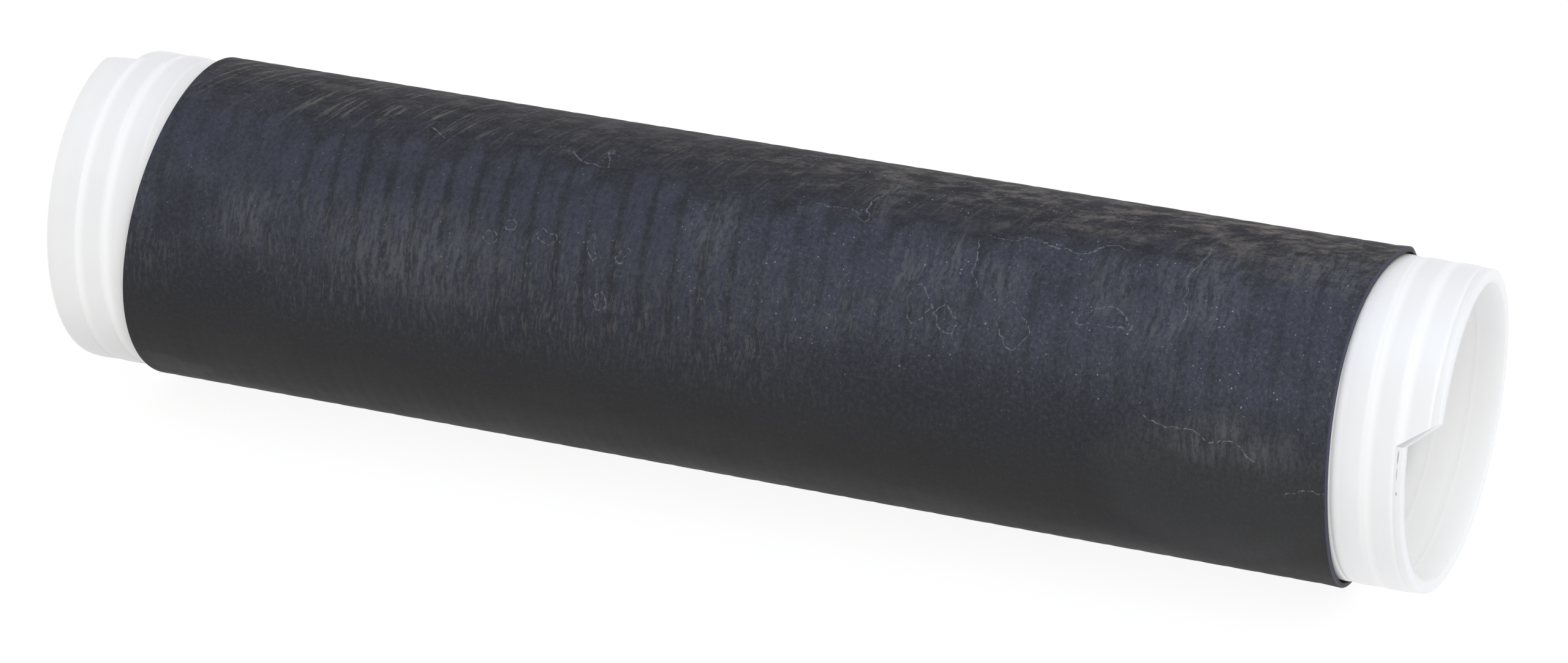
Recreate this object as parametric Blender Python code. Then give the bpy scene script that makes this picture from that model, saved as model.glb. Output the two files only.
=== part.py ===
"""Cold shrink tube: a stretched rubber sleeve held open by a spiral core.

The tube lies along X, its lowest line on the floor at Z = 0, with the middle of the core
over the origin. Lengths are in metres. An angle is in degrees about the tube's axis, from
+Y towards +Z, so that 90 is the top of the tube and 270 its bottom.

The core is one ribbon, wound as a right-handed helix and welded edge to edge. Each turn
has a flange on its +X edge, which lies under a rebate in the -X edge of the next turn.
Both show where the ribbon is cut off, one at each end of the tube.
"""
import math

import bmesh
import bpy

# Spiral core
CORE_OUTER_DIAMETER = 0.0776
CORE_WALL = 0.0034
RIBBON_PITCH = 0.00745
GROOVE_DEPTH = 0.0006
SHOULDER_WIDTH = 0.0009
FLANGE_WIDTH = 0.0022
FLANGE_THICKNESS = 0.0018
LEFT_CUT_ANGLE = 79.3

# Rubber sleeve
SLEEVE_LENGTH = 0.3071
SLEEVE_WALL = 0.0012
SLEEVE_EDGE_ROUND = 0.0005
LEFT_END_SLANT = 0.0032
LEFT_END_SLANT_ANGLE = 106.0

# How the two fit together
FIT_GAP = 0.0003
LEFT_OVERHANG = 0.0226
RIGHT_OVERHANG = 0.0243

# Flats around each round wall, and steps along each rounded edge
CORE_SIDES = 72
SLEEVE_SIDES = 72
EDGE_STEPS = 2

core_radius = CORE_OUTER_DIAMETER / 2
bore_radius = core_radius - CORE_WALL
core_length = SLEEVE_LENGTH + LEFT_OVERHANG + RIGHT_OVERHANG
core_left = -core_length / 2
sleeve_left = core_left + LEFT_OVERHANG
sleeve_right = sleeve_left + SLEEVE_LENGTH

# The sleeve's flats touch the circle that clears the core by the gap
sleeve_inner_radius = (core_radius + FIT_GAP) / math.cos(math.pi / SLEEVE_SIDES)
sleeve_outer_radius = sleeve_inner_radius + SLEEVE_WALL
axis_height = sleeve_outer_radius * math.cos(math.pi / SLEEVE_SIDES)

# The ribbon's whole run, in steps of one core side, and the turns that show at each end
ribbon_samples = round((core_length - RIBBON_PITCH - FLANGE_WIDTH) / RIBBON_PITCH * CORE_SIDES)
left_turns = math.ceil((LEFT_OVERHANG + LEFT_END_SLANT) / RIBBON_PITCH)
right_turns = math.ceil(RIGHT_OVERHANG / RIBBON_PITCH)


def remove_old_objects():
    """Empties the scene."""
    for old in list(bpy.data.objects):
        bpy.data.objects.remove(old, do_unlink=True)


def make_material(name, colour, roughness):
    """A Principled material of one colour."""
    material = bpy.data.materials.new(name)
    material.use_nodes = True
    shader = material.node_tree.nodes["Principled BSDF"]
    shader.inputs["Base Color"].default_value = (*colour, 1.0)
    shader.inputs["Roughness"].default_value = roughness
    shader.inputs["Metallic"].default_value = 0.0
    return material


def round_point(along, radius, angle):
    """The point at one place along the axis, one radius and one angle in degrees."""
    turned = math.radians(angle)
    return (along, radius * math.cos(turned), radius * math.sin(turned))


def finish_object(name, mesh, material, sharp_angle):
    """Turns a bmesh into an object with its origin on the tube's axis."""
    data = bpy.data.meshes.new(name)
    mesh.to_mesh(data)
    mesh.free()
    data.shade_smooth()
    data.set_sharp_from_angle(angle=math.radians(sharp_angle))
    data.materials.append(material)
    finished = bpy.data.objects.new(name, data)
    finished.location = (0.0, 0.0, axis_height)
    bpy.context.scene.collection.objects.link(finished)
    return finished


class RibbonMesh:
    """The core's mesh. A place on the ribbon is a feature and a sample along the helix."""

    # Each feature: how far it lies right of the turn's left edge, and its radius
    features = {
        "groove": (0.0, core_radius - GROOVE_DEPTH),
        "left_shoulder": (SHOULDER_WIDTH, core_radius),
        "right_shoulder": (RIBBON_PITCH - SHOULDER_WIDTH, core_radius),
        "flange_root": (0.0, bore_radius + FLANGE_THICKNESS),
        "flange_edge": (FLANGE_WIDTH, bore_radius + FLANGE_THICKNESS),
        "foot": (FLANGE_WIDTH, bore_radius),
    }

    def __init__(self):
        self.mesh = bmesh.new()
        self.known = {}

    def vertex(self, feature, sample):
        """One vertex, made once and shared by the turns on both sides of a seam."""
        key = (feature, sample)
        if key not in self.known:
            offset, radius = self.features[feature]
            along = core_left + RIBBON_PITCH * sample / CORE_SIDES + offset
            angle = LEFT_CUT_ANGLE + 360.0 * sample / CORE_SIDES
            self.known[key] = self.mesh.verts.new(round_point(along, radius, angle))
        return self.known[key]

    def ring(self, feature, first):
        """One turn of a feature, its first and last vertices at the same angle."""
        return [self.vertex(feature, first + step) for step in range(CORE_SIDES + 1)]

    def strips(self, path, first, last):
        """Quads along the helix between neighbours on a path of (feature, turns ahead)."""
        for sample in range(first, last):
            for (near, near_turn), (far, far_turn) in zip(path, path[1:]):
                near_sample = sample + near_turn * CORE_SIDES
                far_sample = sample + far_turn * CORE_SIDES
                self.mesh.faces.new((
                    self.vertex(near, near_sample),
                    self.vertex(near, near_sample + 1),
                    self.vertex(far, far_sample + 1),
                    self.vertex(far, far_sample),
                ))

    def face(self, corners):
        """One flat face through the given (feature, sample) places."""
        self.mesh.faces.new([self.vertex(*corner) for corner in corners])

    def tube(self, left, right, shift, left_step=(), right_step=(), inside=False):
        """Flats along X between two one-turn rings.

        The right ring starts shift samples after the left one. Where a ring's last vertex
        comes back to the angle of its first, the vertices between them are its step.
        """
        for side in range(CORE_SIDES):
            other = (side - shift) % CORE_SIDES
            start = [left[0], *left_step, left[-1]] if side == 0 else [left[side]]
            start.append(right[other])
            end = [left[side + 1]]
            end += [right[0], *right_step, right[-1]] if other == CORE_SIDES - 1 else [right[other + 1]]
            corners = [(a, end[0], b) for a, b in zip(start, start[1:])]
            corners += [(a, b, start[-1]) for a, b in zip(end, end[1:])]
            for triangle in corners:
                self.mesh.faces.new(triangle[::-1] if inside else triangle)


def build_core(material):
    """The ribbon: grooved turns at both ends, and a plain wall under the sleeve."""
    core = RibbonMesh()
    last = ribbon_samples
    left_end = left_turns * CORE_SIDES
    right_start = last - right_turns * CORE_SIDES

    # Outside of the turns that show, each with a shoulder on both sides of its seam
    turn = [("groove", 0), ("left_shoulder", 0), ("right_shoulder", 0), ("groove", 1)]
    core.strips(turn, 0, left_end)
    core.strips(turn[:2], left_end, left_end + CORE_SIDES)
    core.strips(turn[2:], right_start - CORE_SIDES, right_start)
    core.strips(turn, right_start, last)

    # Plain wall between them, and the small walls where the two grooves end
    core.tube(
        core.ring("left_shoulder", left_end),
        core.ring("right_shoulder", right_start - CORE_SIDES),
        shift=(right_start - left_end) % CORE_SIDES,
        left_step=[core.vertex("right_shoulder", left_end)],
        right_step=[core.vertex("left_shoulder", right_start)],
    )
    core.face([
        ("left_shoulder", left_end + CORE_SIDES),
        ("groove", left_end + CORE_SIDES),
        ("right_shoulder", left_end),
    ])
    core.face([
        ("right_shoulder", right_start - CORE_SIDES),
        ("groove", right_start),
        ("left_shoulder", right_start),
    ])

    # Rebate along the left rim, flange along the right rim, and the bore between them
    core.strips([("foot", 0), ("flange_edge", 0), ("flange_root", 0), ("groove", 0)], 0, CORE_SIDES)
    core.strips([("groove", 1), ("flange_root", 1), ("flange_edge", 1), ("foot", 1)], last - CORE_SIDES, last)
    core.tube(
        core.ring("foot", 0),
        core.ring("foot", last),
        shift=last % CORE_SIDES,
        inside=True,
    )

    # Cut ends of the ribbon
    core.face([
        ("foot", 0),
        ("flange_edge", 0),
        ("flange_root", 0),
        ("groove", 0),
        ("left_shoulder", 0),
        ("right_shoulder", 0),
        ("groove", CORE_SIDES),
        ("flange_root", CORE_SIDES),
        ("flange_edge", CORE_SIDES),
        ("foot", CORE_SIDES),
    ])
    core.face([
        ("foot", last + CORE_SIDES),
        ("flange_edge", last + CORE_SIDES),
        ("flange_root", last + CORE_SIDES),
        ("groove", last + CORE_SIDES),
        ("right_shoulder", last),
        ("left_shoulder", last),
        ("groove", last),
        ("flange_root", last),
        ("flange_edge", last),
        ("foot", last),
    ])
    return finish_object("spiral_core", core.mesh, material, sharp_angle=35.0)


def sleeve_section():
    """The sleeve's wall section as (end, inset from that end, radius) points.

    It runs round the wall once: along the outside, round the right end, back along the
    bore and round the left end. End is 0 for the left and 1 for the right.
    """
    edge = min(SLEEVE_EDGE_ROUND, 0.45 * SLEEVE_WALL)
    section = []
    corners = (
        (0, sleeve_outer_radius - edge, 180.0, 90.0),
        (1, sleeve_outer_radius - edge, 90.0, 0.0),
        (1, sleeve_inner_radius + edge, 0.0, -90.0),
        (0, sleeve_inner_radius + edge, 270.0, 180.0),
    )
    for end, centre, first, last in corners:
        for step in range(EDGE_STEPS + 1):
            turned = math.radians(first + (last - first) * step / EDGE_STEPS)
            inset = edge * (1.0 - abs(math.cos(turned)))
            section.append((end, inset, centre + edge * math.sin(turned)))
    return section


def build_sleeve(material):
    """The rubber: a thin tube with rounded edges, cut slightly askew at its left end."""
    mesh = bmesh.new()
    section = sleeve_section()
    rings = []
    for side in range(SLEEVE_SIDES):
        # Half a side on from the bottom, which leaves one flat level on the floor
        angle = 270.0 + 360.0 * (side + 0.5) / SLEEVE_SIDES
        slant = LEFT_END_SLANT * math.cos(math.radians(angle - LEFT_END_SLANT_ANGLE))
        ring = []
        for end, inset, radius in section:
            along = sleeve_right - inset if end else sleeve_left + slant + inset
            ring.append(mesh.verts.new(round_point(along, radius, angle)))
        rings.append(ring)
    for ring, following in zip(rings, rings[1:] + rings[:1]):
        for place in range(len(section)):
            after = (place + 1) % len(section)
            mesh.faces.new((ring[place], following[place], following[after], ring[after]))
    return finish_object("rubber_sleeve", mesh, material, sharp_angle=40.0)


def main():
    remove_old_objects()
    build_core(make_material("milky_polypropylene", (0.84, 0.86, 0.88), 0.38))
    build_sleeve(make_material("black_rubber", (0.045, 0.045, 0.05), 0.62))


main()
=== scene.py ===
# %% [markdown]
# A cold shrink tube, dressed for its portrait
#
# The object is a black rubber sleeve, held stretched by a white plastic core. The core is
# one ribbon wound like a spring, each turn welded to the next. Pull the ribbon out and the
# rubber closes on the cable inside it.
#
# The CAD model already has the true sizes. This lesson gives its two pieces their finish:
# two surfaces computed with numpy, a plastic and a rubber material, and a pale studio.

# %% Load the frame
import math

import bmesh
import bpy
import numpy as np
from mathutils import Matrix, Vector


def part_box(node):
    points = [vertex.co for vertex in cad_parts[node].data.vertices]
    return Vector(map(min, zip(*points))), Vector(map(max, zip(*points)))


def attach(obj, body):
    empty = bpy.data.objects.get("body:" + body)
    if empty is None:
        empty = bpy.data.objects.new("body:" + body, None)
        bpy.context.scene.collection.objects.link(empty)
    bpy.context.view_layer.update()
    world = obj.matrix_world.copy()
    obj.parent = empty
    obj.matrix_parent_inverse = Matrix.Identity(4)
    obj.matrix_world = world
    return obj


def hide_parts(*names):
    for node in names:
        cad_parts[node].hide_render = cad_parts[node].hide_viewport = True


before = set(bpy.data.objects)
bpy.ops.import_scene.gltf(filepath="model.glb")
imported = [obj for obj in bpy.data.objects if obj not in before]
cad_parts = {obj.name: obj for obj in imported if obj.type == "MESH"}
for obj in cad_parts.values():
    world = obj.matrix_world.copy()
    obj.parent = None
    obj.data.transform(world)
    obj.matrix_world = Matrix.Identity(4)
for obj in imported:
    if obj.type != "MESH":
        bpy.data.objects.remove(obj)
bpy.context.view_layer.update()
MM = 0.001

# %% [markdown]
# The sizes come from the frame wherever the frame has them: how far the core reaches, how
# high the axis lies and how thick the rubber stands. The ribbon's own sizes are written
# here, in millimetres, as a caliper would read them.
#
# Angles go round the tube's axis from +Y (the back) over the top to -Y (the front).

# %% Sizes
core_low, core_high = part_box("spiral_core")
sleeve_low, sleeve_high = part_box("rubber_sleeve")
axis_height = (sleeve_low.z + sleeve_high.z) / 2
sleeve_radius = (sleeve_high.z - sleeve_low.z) / 2
core_radius = (core_high.y - core_low.y) / 2

PITCH = 7.45 * MM
CORE_WALL = 3.4 * MM
FIT_GAP = 0.3 * MM
bore_radius = core_radius - CORE_WALL
sleeve_inner_radius = core_radius + FIT_GAP
print("radii in mm:", [round(r / MM, 2) for r in (bore_radius, core_radius, sleeve_radius)])

# %% [markdown]
# The camera comes early, because every later choice is judged through it. The photograph
# was taken with a long lens, from the right and from above. Three directions say it all:
# right and up across the picture, and forward into it. The camera backs off from the
# tube's middle along forward, and sits a few millimetres off centre.

# %% Camera
PHOTO_WIDTH = 2560
FOCAL_LENGTH_PIXELS = 10305.4
SENSOR_WIDTH_MM = 36.0
VIEW_AZIMUTH = math.radians(21.114)
VIEW_ELEVATION = math.radians(26.612)
VIEW_DISTANCE = 1527.2 * MM
TUBE_LEFT_OF_CENTRE = 3.77 * MM
TUBE_ABOVE_CENTRE = 4.52 * MM
SLEEVE_MIDDLE = 0.2 * MM

view_right = np.array([math.cos(VIEW_AZIMUTH), math.sin(VIEW_AZIMUTH), 0.0])
view_forward = np.array([
    -math.sin(VIEW_AZIMUTH) * math.cos(VIEW_ELEVATION),
    math.cos(VIEW_AZIMUTH) * math.cos(VIEW_ELEVATION),
    -math.sin(VIEW_ELEVATION),
])
view_up = np.cross(view_right, view_forward)
tube_middle = np.array([SLEEVE_MIDDLE, 0.0, axis_height])
camera_place = (
    tube_middle
    - VIEW_DISTANCE * view_forward
    + TUBE_LEFT_OF_CENTRE * view_right
    - TUBE_ABOVE_CENTRE * view_up
)

camera = bpy.data.objects.new("camera", bpy.data.cameras.new("camera"))
camera.data.sensor_width = SENSOR_WIDTH_MM
camera.data.lens = FOCAL_LENGTH_PIXELS / PHOTO_WIDTH * SENSOR_WIDTH_MM
camera.data.clip_end = 100.0
turned = np.eye(4)
turned[:3, 0] = view_right
turned[:3, 1] = view_up
turned[:3, 2] = -view_forward
turned[:3, 3] = camera_place
camera.matrix_world = turned.T
bpy.context.scene.collection.objects.link(camera)
bpy.context.scene.camera = camera
print("camera at", np.round(camera_place, 3), "lens", round(camera.data.lens, 1))

# %% [markdown]
# A surface here is a grid of points: rows along one parameter, columns along the other.
# A few helpers turn grids into meshes. The first places points round the tube's axis, and
# the next two join neighbours into quads and lay them on a flat map. The last but one
# hands whole arrays of points and faces to Blender at once, which is far quicker than
# adding faces one by one. The last one checks a finished piece: a closed surface has no open
# edge, and faces that point outwards give it a positive volume.


# %% Helpers for surfaces
def round_axis(along, radius, angle):
    """Points round the tube's axis.

    x is the distance along the axis, y is radius times the cosine of the angle, and z is
    the axis height plus radius times the sine of the angle.
    """
    along, radius, angle = np.broadcast_arrays(along, radius, angle)
    height = axis_height + radius * np.sin(angle)
    return np.stack([along, radius * np.cos(angle), height], axis=-1)


def grid_quads(grid):
    """Quads between neighbours in a grid, wound rows first.

    The grid holds point numbers, or any other value that each corner of a quad gets.
    """
    corners = (grid[:-1, :-1], grid[1:, :-1], grid[1:, 1:], grid[:-1, 1:])
    return np.stack(corners, axis=-1).reshape(-1, 4)


def grid_map(across, along):
    """Where each quad's corners lie on a flat map: across in one axis, along in the other."""
    across, along = np.broadcast_arrays(across, along)
    return np.stack([grid_quads(across), grid_quads(along)], axis=-1)


def make_piece(name, points, quads, polygons=(), flat_map=None, sharp_angle=30.0):
    """A smooth-shaded mesh object from points, an array of quads and loose polygons.

    Points that no face uses are dropped, by renumbering the ones that are used. The flat
    map, if there is one, becomes the UV map of the quads' corners.
    """
    used, quads = np.unique(quads, return_inverse=True)
    quads = quads.reshape(-1, 4)
    polygons = [np.searchsorted(used, polygon) for polygon in polygons]
    corners = np.concatenate([quads.ravel(), *polygons]).astype(np.int32)
    sizes = np.array([4] * len(quads) + [len(p) for p in polygons], dtype=np.int32)
    starts = np.concatenate([[0], np.cumsum(sizes)[:-1]]).astype(np.int32)

    mesh = bpy.data.meshes.new(name)
    mesh.vertices.add(len(used))
    mesh.vertices.foreach_set("co", points[used].astype(np.float32).ravel())
    mesh.loops.add(len(corners))
    mesh.loops.foreach_set("vertex_index", corners)
    mesh.polygons.add(len(sizes))
    mesh.polygons.foreach_set("loop_start", starts)
    mesh.polygons.foreach_set("loop_total", sizes)
    mesh.update(calc_edges=True)
    if flat_map is not None:
        places = np.zeros((len(corners), 2), dtype=np.float32)
        places[:quads.size] = flat_map.reshape(-1, 2)
        mesh.uv_layers.new(name="flat_map").uv.foreach_set("vector", places.ravel())
    mesh.shade_smooth()
    mesh.set_sharp_from_angle(angle=math.radians(sharp_angle))
    piece = bpy.data.objects.new(name, mesh)
    bpy.context.scene.collection.objects.link(piece)
    return piece


def report(piece):
    """Prints a piece's triangles, its open edges and whether its volume is positive."""
    shape = bmesh.new()
    shape.from_mesh(piece.data)
    triangles = sum(len(face.verts) - 2 for face in shape.faces)
    open_edges = sum(not edge.is_manifold for edge in shape.edges)
    volume = shape.calc_volume(signed=True)
    shape.free()
    print(f"{piece.name}: {triangles} triangles, {open_edges} open edges, {volume * 1e6:.1f} cm3")


print("a grid of 3 by 4 points has", len(grid_quads(np.arange(12).reshape(3, 4))), "quads")

# %% [markdown]
# The core is a ribbon on a helix. Two numbers name a point on its outside: the sample
# along the helix, and the share of the pitch across the ribbon, from the seam on its left
# to the seam on its right. A turn's right seam is the next turn's left seam, so the last
# column of a row is the first column of the row one whole turn later. Numbering the points
# that way welds the turns together with no merging afterwards.
#
# Each turn has a rounded shoulder on its left edge, where it laps over the flange of the turn
# before, and falls away slowly to its right one. That shoulder catches the light and draws
# a bright band beside each seam.

# %% Ribbon section
# Samples in each turn, and the angles in degrees where the helix and the ribbon begin and end
SIDES = 90
HELIX_START = 69.0
RIBBON_START = 84.5
RIBBON_END = 159.8 + 46 * 360.0
SHOULDER_DEPTH = 0.38 * MM
SHOULDER_REACH = 0.9 * MM
FALL_DEPTH = 0.24 * MM
SEAM_WIDTH = 0.28 * MM
FLANGE_WIDTH = 2.2 * MM
INNER_SEAM_DEPTH = 0.05 * MM
INNER_SEAM_WIDTH = 0.18 * MM
INNER_LIP_HEIGHT = 0.06 * MM
INNER_LIP_PLACE = 0.55 * MM
INNER_LIP_WIDTH = 0.32 * MM
END_SWELL = 0.3 * MM

samples = round((RIBBON_END - RIBBON_START) / 360.0 * SIDES)
# Shares of the pitch where the section has points, closer together where it bends
outer_share = np.array([0.0, 0.035, 0.08, 0.14, 0.22, 0.32, 0.46, 0.62, 0.78, 0.89, 0.955, 0.985, 1.0])
inner_share = np.array([0.0, 0.025, 0.055, 0.085, 0.13, 0.2, 0.55, 0.96, 1.0])


def bell(distance, width):
    """A bell curve: one at no distance, falling with the square of distance over width."""
    return np.exp(-(distance / width) ** 2)


def crown(share):
    """Outer radius across a turn.

    It is the core's radius, less the shoulder's depth times a decay from the left seam,
    less the fall's depth times the square of the share, less a narrow bell that brings
    the right edge down to the left edge of the next turn.
    """
    shoulder = SHOULDER_DEPTH * np.exp(-share * PITCH / SHOULDER_REACH)
    fall = FALL_DEPTH * share ** 2
    drop = (SHOULDER_DEPTH - FALL_DEPTH) * bell((1.0 - share) * PITCH, SEAM_WIDTH)
    return core_radius - shoulder - fall - drop


def bore(share):
    """Inner radius across a turn: a groove at each seam and a low lip just right of it."""
    seam_distance = np.minimum(share, 1.0 - share) * PITCH
    lip_distance = share * PITCH - INNER_LIP_PLACE
    groove = INNER_SEAM_DEPTH * bell(seam_distance, INNER_SEAM_WIDTH)
    return bore_radius + groove - INNER_LIP_HEIGHT * bell(lip_distance, INNER_LIP_WIDTH)


seam_radius = float(crown(np.array(0.0)))
print("ribbon:", samples, "samples, seam radius", round(seam_radius / MM, 2), "mm")

# %% [markdown]
# At the right rim nothing covers the ribbon's flange, so the section runs on: over a shallow
# groove, out along the flange, round its edge and down to the bore. At the left rim the
# rebate that would cover a flange hangs free. Both are short lists of points, each a
# distance right of the ribbon's edge and a depth below the seam.

# %% Rims
FLANGE_SECTION = np.array([
    (0.1, 0.0), (0.2, 0.03), (0.35, 0.01), (0.5, -0.05), (0.8, -0.1), (1.5, -0.1),
    (1.85, -0.04), (2.05, 0.1), (2.16, 0.3), (2.2, 0.6),
]) * MM
REBATE_SECTION = np.array([
    (0.0, 0.25), (0.0, 1.1), (0.08, 1.25), (2.1, 1.25), (2.2, 1.4),
]) * MM
print("rim points:", len(FLANGE_SECTION), "on the flange,", len(REBATE_SECTION), "in the rebate")

# %% [markdown]
# Now the helix. A sample's number gives its angle, and the angle gives the place of the
# seam along the axis.
#
# Both ends of the ribbon are cut off at a slant. A slanted end needs no new faces: the last
# few samples slide along the ribbon, by most at its free rim and by nothing at its seam.
# The turns outside the rubber are also free to spring out a little.

# %% Points of the ribbon
RIGHT_CUT_SLANT = math.radians(-10.2)
RIGHT_CUT_LEAN = math.radians(0.15)
LEFT_CUT_SLANT = math.radians(4.5)
SLANT_SAMPLES = 14
FLANGE_START = PITCH / (PITCH + FLANGE_WIDTH)
SWELL_EASE = 3.0 * MM


def helix_angle(sample):
    """The angle of a sample, in radians: each is one side further round."""
    return np.radians(RIBBON_START + 360.0 / SIDES * sample)


def helix_along(angle):
    """Where a turn's left seam lies along the axis: one pitch further right each turn."""
    return core_low.x + PITCH * (angle - math.radians(HELIX_START)) / (2 * math.pi)


def slide(sample, across, right_edge, depth):
    """How far a point slides along the helix, in radians, to slant the cut ends.

    Near the right end it is the slant times the share of the way across the ribbon, plus
    the lean times the share of the way through its wall. Near the left end it is the
    slant times the share across that is left. Both fade to nothing over a few samples. A
    point past the last sample is the right edge of the turn before.
    """
    past_end = sample > samples
    sample = np.where(past_end, sample - SIDES, sample)
    across = np.where(past_end, right_edge, across)
    near_left = np.clip(1.0 - sample / SLANT_SAMPLES, 0.0, 1.0)
    near_right = np.clip(1.0 - (samples - sample) / SLANT_SAMPLES, 0.0, 1.0)
    right_slide = RIGHT_CUT_SLANT * across + RIGHT_CUT_LEAN * depth
    return near_left * LEFT_CUT_SLANT * (1.0 - across) + near_right * right_slide


def swell(along):
    """Extra radius where the core sticks out, easing in just inside the rubber's ends."""
    outside = np.maximum(sleeve_low.x - along, along - sleeve_high.x)
    return END_SWELL * np.clip(outside / SWELL_EASE + 1.0, 0.0, 1.0)


def ribbon_points(sample, offset, radius, across, right_edge=FLANGE_START):
    """Points of the ribbon: so far right of the left seam, at a radius, slid to the cut."""
    depth = (core_radius - radius) / CORE_WALL
    angle = helix_angle(sample) + slide(sample, across, right_edge, depth)
    along = helix_along(angle) + offset
    return round_axis(along, radius + swell(along), angle)


seam_ends = helix_along(helix_angle(np.array([0, samples])))
print("the ribbon's left seam starts and ends at", np.round(seam_ends / MM, 1), "mm")

# %% [markdown]
# The core is a single skin, as the real one is a single ribbon. Four grids share their edge
# points: the outside, the bore, the bare flange at the right rim and the bare rebate at the
# left one. One face closes each cut end.


# %% Spiral core
def build_core():
    """The whole core as one closed surface of four grids that share their edge points."""
    rows = np.arange(samples + SIDES + 1)[:, None]

    # Outside: every column but the last, which is column 0 a turn later
    share = outer_share[None, :-1]
    outside = ribbon_points(rows, share * PITCH, crown(share), share * FLANGE_START)
    outer_columns = len(outer_share) - 1
    outer_index = np.arange(rows.size * outer_columns).reshape(rows.size, -1)
    outer_grid = np.hstack([outer_index[:-SIDES], outer_index[SIDES:, :1]])

    # Bore: the same, starting at the foot of the flange
    share = inner_share[None, :-1]
    inside = ribbon_points(rows, FLANGE_WIDTH + share * PITCH, bore(share), share, right_edge=1.0)
    inner_columns = len(inner_share) - 1
    inner_index = np.arange(rows.size * inner_columns).reshape(rows.size, -1) + outer_index.size
    inner_grid = np.hstack([inner_index[:-SIDES], inner_index[SIDES:, :1]])

    # Right rim: the last turn's flange, down from the seam to the bore
    last_turn = np.arange(samples - SIDES, samples + 1)[:, None]
    offset, depth = FLANGE_SECTION.T[:, None, :]
    across = FLANGE_START + (1.0 - FLANGE_START) * offset / FLANGE_WIDTH
    rim = ribbon_points(last_turn, PITCH + offset, seam_radius - depth, across)
    rim_start = outer_index.size + inner_index.size
    rim_index = np.arange(rim_start, rim_start + last_turn.size * offset.size)
    rim_index = rim_index.reshape(last_turn.size, -1)
    right_grid = np.hstack([
        outer_index[samples:, :1], rim_index, inner_index[samples:, :1],
    ])

    # Left rim: the first turn's rebate, up from the bore to the seam
    first_turn = np.arange(SIDES + 1)[:, None]
    offset, depth = REBATE_SECTION[::-1].T[:, None, :]
    rebate = ribbon_points(first_turn, offset, seam_radius - depth, 0.0 * offset)
    rebate_start = rim_start + rim_index.size
    rebate_index = np.arange(rebate_start, rebate_start + first_turn.size * offset.size)
    rebate_index = rebate_index.reshape(first_turn.size, -1)
    left_grid = np.hstack([
        inner_index[:SIDES + 1, :1], rebate_index, outer_index[:SIDES + 1, :1],
    ])

    # Cut ends: one face each, round the section of the turn that stops there
    left_cut = np.concatenate([
        left_grid[0], outer_grid[0, 1:], left_grid[SIDES, ::-1][1:], inner_grid[0, ::-1][1:-1],
    ])
    right_cut = np.concatenate([
        outer_grid[samples],
        right_grid[SIDES, 1:],
        inner_grid[samples, ::-1][1:],
        right_grid[0, ::-1][1:-1],
    ])[::-1]

    # Flat map: the share of the way across the turn, and how many turns along. The rims
    # count as the middle of a turn, so no seam is drawn on them
    rim_share = 0.5
    turns = rows[:samples + 1] / SIDES
    flat_map = np.concatenate([
        grid_map(outer_share[None, :], turns),
        grid_map(inner_share[None, :], turns)[:, ::-1],
        grid_map(np.full((1, right_grid.shape[1]), rim_share), last_turn / SIDES),
        grid_map(np.full((1, left_grid.shape[1]), rim_share), first_turn / SIDES),
    ])

    points = np.concatenate([a.reshape(-1, 3) for a in (outside, inside, rim, rebate)])
    quads = np.concatenate([
        grid_quads(outer_grid),
        grid_quads(inner_grid)[:, ::-1],
        grid_quads(right_grid),
        grid_quads(left_grid),
    ])
    return make_piece(
        "ribbon_core", points, quads, [left_cut, right_cut], flat_map, sharp_angle=40.0,
    )


ribbon_core = build_core()
report(ribbon_core)
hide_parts("spiral_core")
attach(ribbon_core, "root")

# %% [markdown]
# Four things keep the rubber from looking like a machined pipe. The core's seams print
# through it as shallow grooves, both ends were cut askew, the right end dips behind its top,
# and the tube stands a little fatter towards its right end.

# %% Shape of the rubber
# Each end: its mean place, then the depth and peak angle of its slant and of its wobble
LEFT_END = (-152.1 * MM, 2.5 * MM, math.radians(65.0), 0.65 * MM, math.radians(108.0))
RIGHT_END = (153.5 * MM, 1.9 * MM, math.radians(45.0), 1.43 * MM, math.radians(28.3))
# A shallow notch behind the top of the right end: its depth, where it is and how wide
NOTCH_DEPTH = 3.0 * MM
NOTCH_PLACE = math.radians(45.0)
NOTCH_WIDTH = math.radians(18.0)
PRINT_THROUGH = 0.07 * MM
PRINT_WIDTH = 0.9 * MM
LIP_FLARE = 0.2 * MM
LIP_LENGTH = 2.6 * MM
RIGHT_SWELL = 0.36 * MM
SWELL_REACH = 35 * MM
FOOT_PLACE = math.radians(270.0)
FOOT_WIDTH = math.radians(20.0)


def seam_distance_on(along, angle):
    """Distance along the axis from a point to the nearest seam of the core below it."""
    turns = (along - helix_along(angle)) / PITCH
    return np.abs(turns - np.round(turns)) * PITCH


def cut_end(angle, place, slant, slant_peak, wobble, wobble_peak):
    """Where the rubber ends: a mean place, one wave round the tube and a smaller double one.

    It is the place, plus the slant times the cosine of the angle from its peak, plus the
    wobble times the cosine of twice the angle from its own peak.
    """
    return place + slant * np.cos(angle - slant_peak) + wobble * np.cos(2 * (angle - wobble_peak))


def rubber_right_end(angle):
    """Where the rubber ends at the right: the askew cut, less the notch's bell curve."""
    return cut_end(angle, *RIGHT_END) - NOTCH_DEPTH * bell(angle - NOTCH_PLACE, NOTCH_WIDTH)


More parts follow.
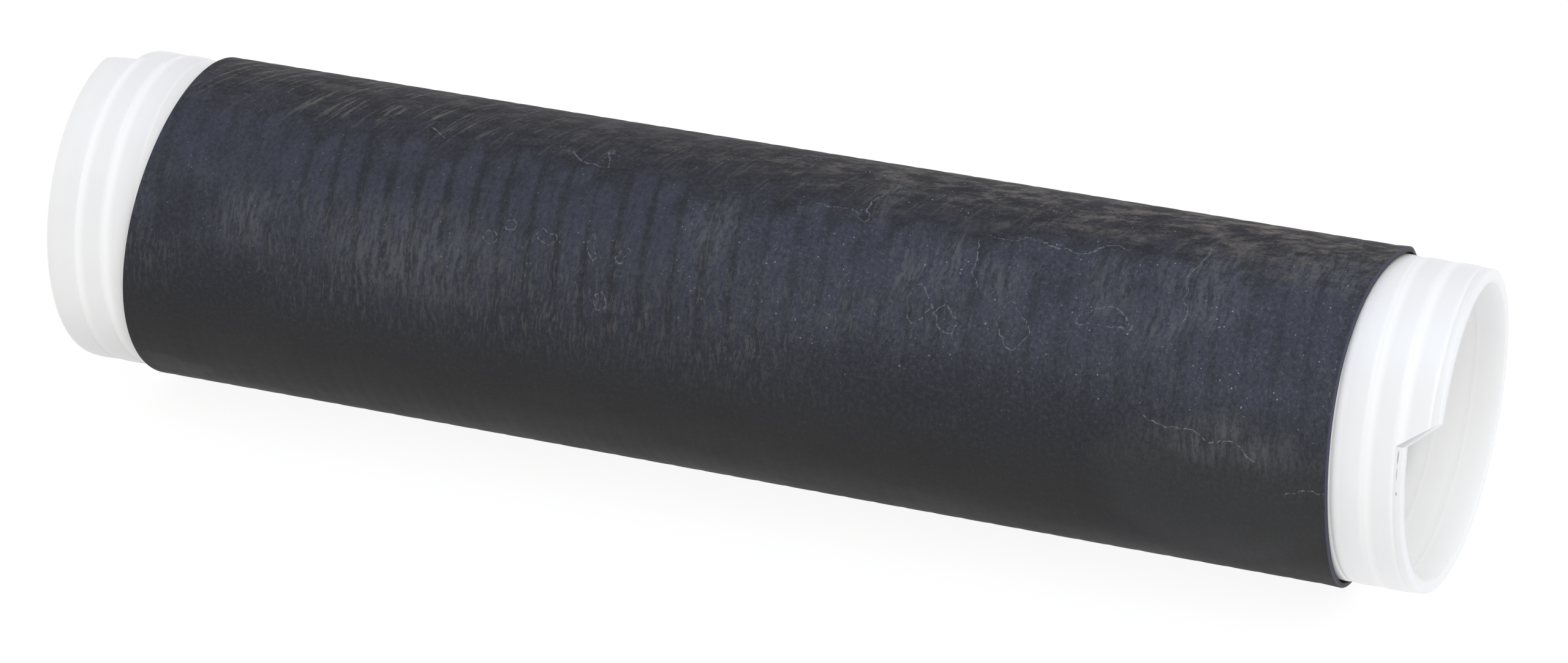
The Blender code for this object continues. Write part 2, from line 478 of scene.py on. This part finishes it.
def spread(along, angle, right_end):
    """How far the rubber stands out: a slow swell to the right, and the flared lip.

    The swell is a logistic curve about the tube's middle, from nothing to its full height.
    The lip is a bell curve of the distance to the right end. Both vanish along the foot,
    where the tube rests on the floor.
    """
    swollen = RIGHT_SWELL / (1.0 + np.exp(-along / SWELL_REACH))
    lifted = 1.0 - bell(angle - FOOT_PLACE, FOOT_WIDTH)
    return lifted * (swollen + LIP_FLARE * bell(right_end - along, LIP_LENGTH))


def rubber_radius(along, angle, right_end):
    """Outer radius of the rubber, with shallow grooves over the core's seams."""
    groove = PRINT_THROUGH * bell(seam_distance_on(along, angle), PRINT_WIDTH)
    return sleeve_radius - groove + spread(along, angle, right_end)


front_ends = (cut_end(math.pi, *LEFT_END), rubber_right_end(math.pi))
print("the rubber's front ends at", [round(float(end) / MM, 1) for end in front_ends], "mm")

# %% [markdown]
# The rubber is a thin tube, so its section goes once round the wall: along the outside,
# round the right end, back along the inside and round the left end.

# %% Rubber sleeve
SLEEVE_SIDES = 180
SLEEVE_ROWS = 480
INNER_ROWS = 14
END_ROUND = 0.5 * MM
ROUND_POINTS = 6


def wrapped(grid):
    """A grid with its first row and column repeated at the end, so that it closes."""
    grid = np.vstack([grid, grid[:1]])
    return np.hstack([grid, grid[:, :1]])


def build_sleeve():
    """The rubber as one grid that closes both ways: round the tube and round its wall."""
    angle = np.linspace(0.0, 2 * math.pi, SLEEVE_SIDES, endpoint=False)[:, None]
    left = cut_end(angle, *LEFT_END)
    right = rubber_right_end(angle)

    share = np.linspace(0.0, 1.0, SLEEVE_ROWS)[None, :]
    along_out = left + END_ROUND + (right - left - 2 * END_ROUND) * share
    radius_out = rubber_radius(along_out, angle, right)

    # A quarter circle at each outer corner, and a straight end face
    quarter = np.linspace(0.0, math.pi / 2, ROUND_POINTS)[None, 1:]
    right_round = right - END_ROUND * (1.0 - np.sin(quarter))
    right_radius = radius_out[:, -1:] - END_ROUND * (1.0 - np.cos(quarter))
    left_round = left + END_ROUND * (1.0 - np.sin(quarter[:, ::-1]))
    left_radius = radius_out[:, :1] - END_ROUND * (1.0 - np.cos(quarter[:, ::-1]))

    inner_share = np.linspace(0.0, 1.0, INNER_ROWS)[None, :]
    along_in = right + (left - right) * inner_share
    radius_in = sleeve_inner_radius + spread(along_in, angle, right)

    along = np.hstack([along_out, right_round, along_in, left_round])
    radius = np.hstack([radius_out, right_radius, radius_in, left_radius])
    points = round_axis(along, radius, angle)
    index = np.arange(points.shape[0] * points.shape[1]).reshape(points.shape[:2])

    # Flat map: millimetres to the right end, with -1 for the inside of the wall
    to_end = (right - along) / MM
    inner_start = along_out.shape[1] + quarter.shape[1]
    to_end[:, inner_start:inner_start + INNER_ROWS] = -1.0
    quads = grid_quads(wrapped(index))
    flat_map = grid_map(wrapped(to_end), 0.0)
    return make_piece(
        "stretched_rubber", points.reshape(-1, 3), quads, flat_map=flat_map, sharp_angle=50.0,
    )


stretched_rubber = build_sleeve()
report(stretched_rubber)
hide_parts("rubber_sleeve")
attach(stretched_rubber, "root")

# %% [markdown]
# Materials are graphs of nodes. A class keeps each graph readable: one method adds a node
# and fills its sockets, and the others stand for the steps used again and again. Object
# coordinates are the same as the model's own, because every piece sits at the origin. From
# them the graph also works out where a point lies on the tube's surface when it is unrolled.


# %% Helpers for materials
class Graph:
    """A material's node graph, with short ways to add the nodes used here."""

    def __init__(self, name):
        self.material = bpy.data.materials.new(name)
        self.material.use_nodes = True
        self.tree = self.material.node_tree
        self.shader = self.tree.nodes["Principled BSDF"]
        coordinates = self.node("ShaderNodeTexCoord")
        self.place = coordinates.outputs["Object"]
        self.flat_map = coordinates.outputs["UV"]

        # Distance from the tube's axis, and the surface unrolled in millimetres: along the
        # tube, and round it from the top towards the camera
        x, y, z = self.split(self.place)
        up = self.math("SUBTRACT", z, axis_height)
        squares = self.math("ADD", self.product(y, y), self.product(up, up))
        self.axis_distance = self.math("SQRT", squares)
        turned = self.math("ARCTAN2", self.product(y, -1.0), up)
        self.along = self.product(x, 1.0 / MM)
        self.around = self.product(turned, sleeve_radius / MM)
        self.unrolled = self.node("ShaderNodeCombineXYZ", X=self.along, Y=self.around).outputs[0]

    def fill(self, socket, value):
        """Links a socket to another node's output, or sets its value."""
        if isinstance(value, bpy.types.NodeSocket):
            self.tree.links.new(value, socket)
        else:
            socket.default_value = value

    def node(self, kind, settings=None, **sockets):
        """Adds a node, sets its options, and fills its named sockets."""
        added = self.tree.nodes.new(kind)
        for option, value in (settings or {}).items():
            setattr(added, option, value)
        for socket, value in sockets.items():
            self.fill(added.inputs[socket.replace("_", " ")], value)
        return added

    def surface(self, **sockets):
        """Fills named sockets of the shader and hands over the finished material."""
        for socket, value in sockets.items():
            self.fill(self.shader.inputs[socket.replace("_", " ")], value)
        return self.material

    def math(self, operation, *values, clamp=False):
        """One Math node on one, two or three values."""
        added = self.tree.nodes.new("ShaderNodeMath")
        added.operation = operation
        added.use_clamp = clamp
        for socket, value in zip(added.inputs, values):
            self.fill(socket, value)
        return added.outputs[0]

    def chain(self, operation, values):
        """Combines several values two at a time, from the first to the last."""
        result, *others = values
        for value in others:
            result = self.math(operation, result, value)
        return result

    def product(self, *values):
        """The product of two or more values."""
        return self.chain("MULTIPLY", values)

    def most(self, values):
        """The largest of several values."""
        return self.chain("MAXIMUM", values)

    def vector(self, operation, first, second=(0.0, 0.0, 0.0), output="Vector"):
        """One Vector Math node on one or two vectors."""
        added = self.node("ShaderNodeVectorMath", {"operation": operation})
        self.fill(added.inputs[0], first)
        self.fill(added.inputs[1], second)
        return added.outputs[output]

    def split(self, vector):
        """The three parts of a vector."""
        return self.node("ShaderNodeSeparateXYZ", Vector=vector).outputs[:]

    def ramp(self, value, low, high, bottom=0.0, top=1.0):
        """Eases from bottom to top as the value goes from low to high."""
        added = self.node(
            "ShaderNodeMapRange", {"interpolation_type": "SMOOTHSTEP"},
            Value=value, From_Min=low, From_Max=high, To_Min=bottom, To_Max=top,
        )
        return added.outputs["Result"]

    def noise(self, place, scale, detail=2.0, roughness=0.5, distortion=0.0):
        """Cloudy noise from about 0 to 1, with so many cells per unit along X, Y and Z."""
        added = self.node(
            "ShaderNodeTexNoise", Vector=self.vector("MULTIPLY", place, scale), Scale=1.0,
            Detail=detail, Roughness=roughness, Distortion=distortion,
        )
        return added.outputs[0]

    def bump(self, height, distance, strength):
        """Bends the shading by a height field of so many metres."""
        added = self.node("ShaderNodeBump", Height=height, Strength=strength, Distance=distance)
        return added.outputs["Normal"]

    def blend(self, factor, colour, other):
        """Mixes two colours by a factor."""
        added = self.node("ShaderNodeMix", {"data_type": "RGBA"})
        self.fill(added.inputs["Factor"], factor)
        self.fill(added.inputs[6], colour)
        self.fill(added.inputs[7], other)
        return added.outputs[2]

    def layered(self, colour, layers):
        """Lays colours over a first one: a layer is a mask, its strength and its colour."""
        for mask, strength, layer in layers:
            colour = self.blend(self.product(mask, strength), colour, layer)
        return colour

    def oval_distance(self, place, along, around, half_along, half_around):
        """Distance from the middle of an oval, as a share of the way to its edge."""
        offset = self.vector("SUBTRACT", place, (along, around, 0.0))
        scaled = self.vector("MULTIPLY", offset, (1.0 / half_along, 1.0 / half_around, 0.0))
        return self.vector("LENGTH", scaled, output="Value")

    def spot(self, place, *oval, soft=0.3):
        """1 inside an oval, easing to 0 across its edge."""
        return self.ramp(self.oval_distance(place, *oval), 1.0 + soft, 1.0 - soft)


def dress(piece, material):
    """Gives a piece its material, and prints how many nodes that has."""
    piece.data.materials.append(material)
    print(f"{piece.name}: {material.name}, {len(material.node_tree.nodes)} nodes")


print("graph helpers:", [name for name in vars(Graph) if not name.startswith("_")])

# %% [markdown]
# The core is polypropylene: white, waxy and milky rather than opaque. In the bore, light
# enters the wall, scatters and comes out again, so the bare turns glow and the part behind
# the black rubber stays greyer. Subsurface scattering does this for real, as long as the
# wall has its true thickness. Outside, the colour carries a painted highlight where two
# turns overlap, beside each seam.

# %% Milky plastic
# Painted shadows of small dents in the last groove: centre along and around, half-width along and around
DENT_SHADOWS = ((168.5, 52.1, 0.16, 1.7), (168.6, 56.2, 0.1, 1.6), (168.85, 61.2, 0.18, 0.5))


def milky_plastic():
    """Waxy white plastic: light passes into the bore, and a painted highlight lies where turns overlap."""
    graph = Graph("milky_plastic")
    cloud = graph.noise(graph.place, (60.0, 60.0, 60.0), detail=3.0)
    drawn = graph.noise(graph.place, (1400.0, 90.0, 90.0), detail=2.0)
    across, turn, _ = graph.split(graph.flat_map)
    x, _, height = graph.split(graph.place)
    inside = graph.ramp(graph.axis_distance, (bore_radius + core_radius) / 2, bore_radius + 1 * MM)
    outside = graph.math("SUBTRACT", 1.0, inside)

    # Painted highlight where turns overlap: beside the seams, on the bare turns but the first, fading
    # towards the floor
    painted_overlap_highlight = graph.most((graph.ramp(across, 0.42, 0.12), graph.ramp(across, 0.84, 1.12)))
    bare_turns = graph.most((graph.ramp(turn, 3.0, 2.8), graph.ramp(turn, 40.0, 41.0)))
    after_first = graph.math("GREATER_THAN", turn, 1.0)
    fading = graph.ramp(height, 5 * MM, 45 * MM, 0.35, 1.0)
    painted_overlap_highlight = graph.product(painted_overlap_highlight, outside, bare_turns, after_first, fading)

    # Painted highlight and shade at the seams in the bore, painted shade on the underside of the left end,
    # and painted shadows in the dents
    painted_bore_seam_highlight = graph.product(inside, graph.ramp(across, 0.25, 0.05))
    groove = graph.product(inside, graph.ramp(across, 0.8, 1.0))
    painted_underside_shade = graph.product(graph.ramp(height, 36 * MM, 6 * MM), graph.ramp(x, -140 * MM, -160 * MM))
    dent_shadows = graph.most(graph.spot(graph.unrolled, *mark) for mark in DENT_SHADOWS)

    white = graph.blend(graph.ramp(cloud, 0.3, 0.7), (0.795, 0.797, 0.803, 1), (0.812, 0.814, 0.82, 1))
    white = graph.layered(white, (
        # Painted highlight beside the seams, where the turns overlap
        (painted_overlap_highlight, 1.0, (0.925, 0.932, 0.94, 1)),
        # Painted highlight just right of each seam in the bore
        (painted_bore_seam_highlight, 1.0, (0.83, 0.83, 0.83, 1)),
        # Painted shade just left of each seam in the bore
        (groove, 1.0, (0.77, 0.77, 0.77, 1)),
        # Painted shade: greyer low on the left end
        (painted_underside_shade, 1.0, (0.56, 0.56, 0.56, 1)),
        # Painted shadow in the dents
        (dent_shadows, 1.0, (0.4, 0.4, 0.4, 1)),
    ))
    return graph.surface(
        Base_Color=white,
        Normal=graph.bump(drawn, 0.03 * MM, 0.6),
        Roughness=graph.ramp(cloud, 0.2, 0.8, 0.3, 0.38),
        IOR=1.49,
        Subsurface_Weight=graph.math("MULTIPLY_ADD", inside, 0.7, 0.2),
        Subsurface_Radius=(1.0, 1.0, 1.0),
        Subsurface_Scale=26.0 * MM,
    )


dress(ribbon_core, milky_plastic())

# %% [markdown]
# The rubber is nearly black, so its life is all in its surface. From bare rubber up:
#
# - a bluish band of wax bloom and painted reflection along the upper front, broken into ribs by the core's
#   turns
# - a painted blue reflection except low on the front, where painted shade darkens the rubber instead
# - polished places, smudges and brushed pale patches, each at a listed place
# - a grain of short scratches on the front, and a leathery pattern on the right half
# - streaks, bare places and brownish dust along the top
# - a mottle of fine light and dark all over, fainter low on the front
# - thin rings and scuffs at listed places, and pale specks, clearest to the right
#
# Several layers share the same noises, so those come first. One of them, the wobble, bends
# the coordinates of the marks and of the scratches, so that no mark has a ruled edge.

# %% Noises and thin marks
# Distance from the middle of a thin line to where it is gone, in millimetres
RING_FADE = 0.22
STROKE_FADE = 0.28


class RubberGraph(Graph):
    """The rubber's graph, with the noises and thin marks that only the rubber has."""

    def __init__(self, name):
        super().__init__(name)
        wobble = self.noise(self.unrolled, (0.09, 0.09, 1.0), detail=3.0)
        self.worn = self.shifted(self.ramp(wobble, 0.2, 0.8, -3.0, 3.0))
        self.scratched = self.shifted(self.ramp(wobble, 0.2, 0.8, -1.0, 1.0))
        self.patches = self.noise(self.unrolled, (0.03, 0.055, 1.0), detail=4.0, roughness=0.6)
        self.clouds = self.noise(self.unrolled, (0.12, 0.1, 1.0), detail=5.0, roughness=0.65)
        self.brushed = self.noise(self.scratched, (0.7, 0.12, 1.0), detail=5.0, roughness=0.75)
        self.mottle = self.noise(self.unrolled, (1.0, 0.8, 1.0), detail=4.0, roughness=0.85)
        self.drifting = self.math("ADD", self.around, self.ramp(self.clouds, 0.3, 0.7, -6.0, 6.0))

    def shifted(self, amount):
        """The unrolled surface, moved by the same changing amount along and around."""
        offset = self.node("ShaderNodeCombineXYZ", X=amount, Y=amount).outputs[0]
        return self.vector("ADD", self.unrolled, offset)

    def leaning(self, lean):
        """The unrolled surface, moved along by so many millimetres for each one around."""
        along = self.math("MULTIPLY_ADD", self.around, lean, self.along)
        return self.node("ShaderNodeCombineXYZ", X=along, Y=self.around).outputs[0]

    def ring(self, along, around, half_along, half_around):
        """A thin line along the edge of an oval."""
        distance = self.oval_distance(self.worn, along, around, half_along, half_around)
        gap = self.math("ABSOLUTE", self.math("SUBTRACT", distance, 1.0))
        return self.ramp(gap, RING_FADE / min(half_along, half_around), 0.0)

    def stroke(self, start_along, start_around, end_along, end_around):
        """A thin line from one place to another.

        The nearest point of the line is its start plus a clamped share of its length, and
        the share is the dot product with its direction over the length squared.
        """
        step = (end_along - start_along, end_around - start_around, 0.0)
        offset = self.vector("SUBTRACT", self.worn, (start_along, start_around, 0.0))
        dot = self.vector("DOT_PRODUCT", offset, step, output="Value")
        share = self.math("DIVIDE", dot, step[0] ** 2 + step[1] ** 2, clamp=True)
        nearest = self.node("ShaderNodeVectorMath", {"operation": "SCALE"}, Scale=share)
        self.fill(nearest.inputs[0], step)
        gap = self.vector("DISTANCE", offset, nearest.outputs[0], output="Value")
        return self.ramp(gap, STROKE_FADE, 0.0)

    def specks(self, size, rarity):
        """Small dots in a few cells of a millimetre each: 1 on a dot and 0 elsewhere."""
        cells = self.node("ShaderNodeTexVoronoi", Vector=self.unrolled, Scale=1.0)
        chosen = self.ramp(self.split(cells.outputs["Color"])[0], rarity, rarity + 0.05)
        return self.product(chosen, self.ramp(cells.outputs["Distance"], size * 1.6, size))


print("rubber helpers:", [name for name in vars(RubberGraph) if not name.startswith("_")])

# %% [markdown]
# The core's turns show through the rubber as ribs, with dark lines of painted groove shade
# between them. At the top of the tube the lines lie a little under half a turn left of the
# core's seams, and they lean almost four times as much as the seams do.
#
# The bloom is wax that has come to the surface of the rubber, with a painted reflection of the lamps
# in it. It makes a band along the upper front, which reaches higher towards both ends.

# %% Ribs, bloom and painted reflection
# How far the lines lie left of the seams, in turns, and how much more they lean, in turns
# for each millimetre round the tube
LINE_SHIFT = 0.44
EXTRA_LEAN = 0.011
RIB_LEAN = MM / (2 * math.pi * sleeve_radius) + EXTRA_LEAN
RIB_TURN = core_low.x / PITCH + (90.0 - HELIX_START) / 360.0 - LINE_SHIFT


def ribs(graph):
    """1 on a rib, and less in the dark lines, which are clearest on the left half. In the colour the lines
    are painted shade of the grooves, and in the bump they are relief.
    """
    turns = graph.math("DIVIDE", graph.along, PITCH / MM)
    turns = graph.math("SUBTRACT", turns, graph.product(graph.around, RIB_LEAN))
    distance = graph.math("PINGPONG", graph.math("SUBTRACT", turns, RIB_TURN), 0.5)
    distance = graph.math("ADD", distance, graph.ramp(graph.clouds, 0.3, 0.7, -0.06, 0.06))
    left_half = graph.product(graph.ramp(graph.along, -115.0, -90.0), graph.ramp(graph.along, 20.0, -10.0))
    line = graph.product(
        graph.ramp(distance, 0.24, 0.0),
        graph.math("MULTIPLY_ADD", left_half, 0.6, 0.45),
        graph.ramp(graph.patches, 0.3, 0.6, 0.5, 1.2),
    )
    return graph.math("SUBTRACT", 1.0, line)


def bloom_and_reflection_over(graph, rib):
    """How strongly the bloom and painted reflection show: a band round the front, clouded, brushed and
    broken by ribs.
    """
    towards_ends = graph.ramp(graph.math("ABSOLUTE", graph.along), 95.0, 145.0)
    upper_edge = graph.math("ADD", graph.drifting, graph.product(towards_ends, 9.0))
    return graph.product(
        graph.ramp(upper_edge, 8.0, 24.0),
        graph.ramp(graph.around, 62.0, 38.0),
        graph.ramp(graph.clouds, 0.25, 0.75, 0.55, 1.25),
        graph.ramp(graph.brushed, 0.35, 0.65, 0.65, 1.2),
        graph.ramp(graph.along, -130.0, 100.0, 0.9, 1.12),
        rib,
    )


print("rib lines lean", round(RIB_LEAN, 4), "turns for each mm round the tube")

# %% [markdown]
# Some marks are too distinct to leave to chance, so each has its place. Places are in
# millimetres: along the tube from its middle, and round it from the top towards the camera.

# %% Marks at listed places
# Centre along and around, then half-width along and around
RINGS = (
    (-60.0, 35.5, 1.7, 1.5), (-54.0, 33.5, 1.5, 1.3), (-43.5, 35.5, 1.9, 2.1),
    (-33.0, 34.5, 1.2, 2.4), (-25.0, 35.5, 2.0, 2.2), (-29.0, 47.0, 1.4, 2.2),
    (50.0, 36.0, 3.2, 4.0), (56.0, 37.0, 1.8, 2.6), (73.0, 37.0, 2.8, 4.4), (94.0, 32.0, 6.4, 3.4),
)
PALE = (
    (-5.0, 24.6, 6.0, 8.0), (45.0, 27.0, 3.5, 7.0), (54.6, 23.0, 4.0, 9.0), (70.0, 27.0, 6.0, 6.0),
    (93.4, 24.0, 6.0, 7.0), (108.0, 31.0, 6.0, 7.0), (116.0, 18.0, 9.0, 12.0), (142.0, 8.0, 12.0, 9.0),
    (-122.0, 42.0, 8.0, 6.0), (-77.0, 44.0, 20.0, 10.0), (34.0, 6.0, 4.0, 8.0), (128.0, 55.0, 16.0, 4.0),
)
POLISHED = (
    (-139.0, 44.0, 8.0, 8.0), (-127.0, 60.0, 14.0, 8.0), (64.0, 54.0, 42.0, 9.0), (120.0, 88.0, 30.0, 9.0),
)
SMUDGES = ((128.0, 70.0, 30.0, 20.0), (-144.0, 92.0, 10.0, 5.0))
# Start along and around, then end along and around
SCUFFS = (
    (-85.0, 8.0, -79.0, 12.0), (-37.0, 6.3, -35.5, 13.5), (17.0, 13.0, 31.0, 15.0),
    (62.0, 15.0, 76.0, 14.0), (76.0, 14.0, 94.0, 12.0), (61.0, 18.0, 62.5, 29.0),
    (-49.0, 9.5, -36.0, 14.3), (34.0, 1.0, 29.0, 15.0), (114.0, 5.0, 112.0, 28.0),
    (108.0, 52.0, 134.0, 57.0), (143.0, 66.0, 154.0, 65.0),
)


def hand_marks(graph):
    """How strongly the thin lines, pale patches, polished places and smudges show."""
    rings = [graph.ring(*mark) for mark in RINGS]
    scuffs = [graph.stroke(*mark) for mark in SCUFFS]
    lines = graph.product(graph.most(rings + scuffs), graph.ramp(graph.mottle, 0.42, 0.58))
    pale = graph.most(graph.spot(graph.worn, *mark, soft=0.7) for mark in PALE)
    pale = graph.product(pale, graph.ramp(graph.brushed, 0.4, 0.62))
    polished = graph.most(graph.spot(graph.worn, *mark, soft=0.5) for mark in POLISHED)
    smudges = graph.most(graph.spot(graph.worn, *mark, soft=0.25) for mark in SMUDGES)
    return lines, pale, polished, smudges


print("marks:", len(RINGS), "rings,", len(SCUFFS), "scuffs and", len(PALE), "pale patches")
print("places:", len(POLISHED), "polished and", len(SMUDGES), "smudged")

# %% [markdown]
# The rest is the wear of handling and storing: scratches, creases and specks on the front,
# and dust on the top, which something has wiped into slanting streaks. Most patterns are a
# noise cut off at a height, and each one is kept to its own zone.

# %% Wear and dust
# Millimetres along the tube for each millimetre round it
STREAK_LEAN = 0.45
DUST_LEAN = 0.8


def fine_patterns(graph, bloom_and_reflection, polished):
    """How strongly the grain, the leathery pattern, the streaks and the specks show."""
    # Grain: short scratches on the front, with none where the rubber is polished
    grain = graph.noise(graph.scratched, (1.2, 0.2, 1.0), detail=3.0, roughness=0.65, distortion=0.15)
    grain = graph.product(
        graph.ramp(grain, 0.48, 0.64),
        graph.ramp(graph.around, 24.0, 40.0),
        graph.ramp(graph.around, 70.0, 52.0),
        graph.ramp(graph.patches, 0.34, 0.55, 0.35, 1.0),
        graph.ramp(graph.along, 40.0, 75.0, 1.0, 0.5),
        graph.math("SUBTRACT", 1.0, polished),
    )

    # Leather: creases in the bloom and painted reflection of the right half
    leather = graph.noise(graph.scratched, (1.1, 0.9, 1.0), detail=4.0, roughness=0.75)
    leather = graph.product(graph.ramp(leather, 0.52, 0.66), bloom_and_reflection, graph.ramp(graph.along, -12.0, 8.0))

    # Streaks: long scratches over the top, clearest at the left
    streaks = graph.noise(graph.leaning(STREAK_LEAN), (0.8, 0.07, 1.0), detail=4.0, roughness=0.65)
    streaks = graph.product(
        graph.ramp(streaks, 0.54, 0.61),
        graph.ramp(graph.around, 18.0, 4.0),
        graph.ramp(graph.along, -40.0, -90.0, 0.4, 1.0),
    )

    # Specks: clearest to the right, above the lower front and in the bright clouds
    specks = graph.product(
        graph.specks(size=0.14, rarity=0.84),
        graph.ramp(graph.along, -50.0, 30.0, 0.4, 1.0),
        graph.ramp(graph.around, 62.0, 44.0, 0.1, 1.0),
        graph.ramp(graph.clouds, 0.42, 0.65, 0.1, 1.0),
    )
    return grain, leather, streaks, specks


def dusting(graph):
    """How strongly the bare places and the dust show, both fainter down the back."""
    wiped = graph.noise(graph.leaning(DUST_LEAN), (0.1, 0.22, 1.0), detail=7.0, roughness=0.8)
    not_back = graph.ramp(graph.around, -70.0, -15.0, 0.25, 1.0)
    bare = graph.product(graph.ramp(graph.drifting, 24.0, 6.0), graph.ramp(wiped, 0.5, 0.38), not_back)
    dust = graph.product(
        graph.ramp(graph.drifting, 16.0, -8.0),
        not_back,
        graph.ramp(wiped, 0.46, 0.62),
        graph.ramp(graph.along, -60.0, 110.0, 0.4, 1.3),
    )
    return bare, dust


print("streaks and dust lean", STREAK_LEAN, "and", DUST_LEAN, "mm for each mm round the tube")

# %% [markdown]
# Now the layers go over one another. The table below reads from the bare rubber up, and
# changing a row's strength is the quickest way to see what that layer does.


# %% Black rubber
def black_rubber():
    """Dull black rubber: a bloom with a painted reflection over the bare rubber, and then one layer after
    another.
    """
    graph = RubberGraph("black_rubber")
    rib = ribs(graph)
    bloom_and_reflection = bloom_and_reflection_over(graph, rib)
    lines, pale, polished, smudges = hand_marks(graph)
    grain, leather, streaks, specks = fine_patterns(graph, bloom_and_reflection, polished)
    bare, dust = dusting(graph)
    painted_blue_reflection = graph.ramp(graph.around, 80.0, 50.0)
    painted_low_shade = graph.ramp(graph.around, 90.0, 106.0)
    mottled = graph.ramp(graph.around, 76.0, 50.0, 0.3, 1.0)
    dark_mottle = graph.product(mottled, graph.ramp(graph.mottle, 0.52, 0.32))
    light_mottle = graph.product(mottled, graph.ramp(graph.mottle, 0.5, 0.7))
    to_end = graph.split(graph.flat_map)[0]
    # Painted highlight along the rounded corner of the right end
    right_edge = graph.ramp(to_end, 0.55, 0.25)
    inner_wall = graph.ramp(to_end, 0.0, -0.15)

    # Wax bloom and painted reflection of the lamps, over the bare rubber
    colour = graph.blend(bloom_and_reflection, (0.0205, 0.0203, 0.0208, 1), (0.0485, 0.0535, 0.071, 1))
    colour = graph.layered(colour, (
        # Painted reflection: a bluer cast above the lower front
        (painted_blue_reflection, 0.4, (0.025, 0.0285, 0.05, 1)),
        # Painted shade: darker low on the front
        (painted_low_shade, 0.8, (0.01, 0.01, 0.01, 1)),
        (polished, 0.35, (0.019, 0.019, 0.025, 1)),
        (smudges, 0.5, (0.038, 0.039, 0.041, 1)),
        (pale, 0.6, (0.095, 0.1, 0.113, 1)),
        (grain, 0.6, (0.075, 0.075, 0.076, 1)),
        (leather, 0.6, (0.1, 0.103, 0.12, 1)),
        (streaks, 0.7, (0.12, 0.117, 0.113, 1)),
        (bare, 0.7, (0.014, 0.0135, 0.013, 1)),
        (dust, 0.7, (0.15, 0.135, 0.12, 1)),
        (dark_mottle, 0.55, (0.011, 0.011, 0.011, 1)),
        (light_mottle, 0.45, (0.07, 0.071, 0.075, 1)),
        (lines, 0.65, (0.21, 0.21, 0.22, 1)),
        (specks, 0.8, (0.32, 0.32, 0.35, 1)),
        # Painted highlight on the right end's rounded corner
        (right_edge, 1.0, (0.06, 0.06, 0.09, 1)),
        (inner_wall, 1.0, (0.05, 0.045, 0.042, 1)),
    ))
    relief = graph.math("ADD", graph.product(rib, 0.6), graph.product(graph.mottle, 0.5))
    return graph.surface(
        Base_Color=colour,
        Normal=graph.bump(relief, 0.08 * MM, 0.6),
        Roughness=graph.ramp(graph.patches, 0.3, 0.7, 0.62, 0.72),
        IOR=1.42,
        Specular_IOR_Level=0.25,
    )


dress(stretched_rubber, black_rubber())

# %% [markdown]
# The studio is plain: a pale floor that glows softly, an even warm white surround and four
# soft lamps. The large one at the left stands for a window, the key lamp lights the front
# from the right, and a smaller one overhead gives the upper side its blue cast. The fourth
# looks into the bore from beside it.

# %% Studio
FLOOR_HALF = 6.0
FLOOR_GREY = 0.09
FLOOR_GLOW = 0.92
SURROUND_STRENGTH = 0.75
# Each lamp: its name, its place, its width, its power in watts and its colour
LAMPS = (
    ("window_lamp", (-2.5, -0.9, 1.2), 3.0, 13.5, (0.97, 1.0, 0.82)),
    ("key_lamp", (1.2, -0.8, 1.6), 1.2, 10.2, (1.0, 0.93, 0.75)),
    ("sky_lamp", (0.2, -0.2, 1.9), 1.2, 8.2, (0.43, 0.65, 1.0)),
    ("bore_lamp", (1.8, -0.6, 0.45), 0.8, 5.5, (0.33, 0.66, 1.0)),
)

floor = make_piece(
    "floor",
    np.array([(-1, -1, 0), (1, -1, 0), (1, 1, 0), (-1, 1, 0)]) * FLOOR_HALF,
    np.array([[0, 1, 2, 3]]),
)
dress(floor, Graph("pale_floor").surface(
    Base_Color=(FLOOR_GREY, FLOOR_GREY, FLOOR_GREY, 1),
    Roughness=0.9,
    Emission_Color=(1.0, 1.0, 1.0, 1),
    Emission_Strength=FLOOR_GLOW,
))


def soft_lamp(name, place, size, power, colour):
    """A square area lamp that faces the tube's middle."""
    lamp = bpy.data.lights.new(name, "AREA")
    lamp.size = size
    lamp.energy = power
    lamp.color = colour
    holder = bpy.data.objects.new(name, lamp)
    holder.location = place
    direction = tube_middle - np.array(place)
    holder.rotation_euler = Vector(direction).to_track_quat("-Z", "Y").to_euler()
    bpy.context.scene.collection.objects.link(holder)


for lamp_values in LAMPS:
    soft_lamp(*lamp_values)

world = bpy.data.worlds.new("surround")
world.use_nodes = True
background = world.node_tree.nodes["Background"]
background.inputs["Color"].default_value = (1.0, 0.955, 0.935, 1)
background.inputs["Strength"].default_value = SURROUND_STRENGTH
bpy.context.scene.world = world
bpy.context.scene.view_settings.view_transform = "Standard"
print("lamps:", [name for name, *_ in LAMPS])

# %% [markdown]
# Both pieces take their sizes from the CAD model's boxes, which are taken at the start.
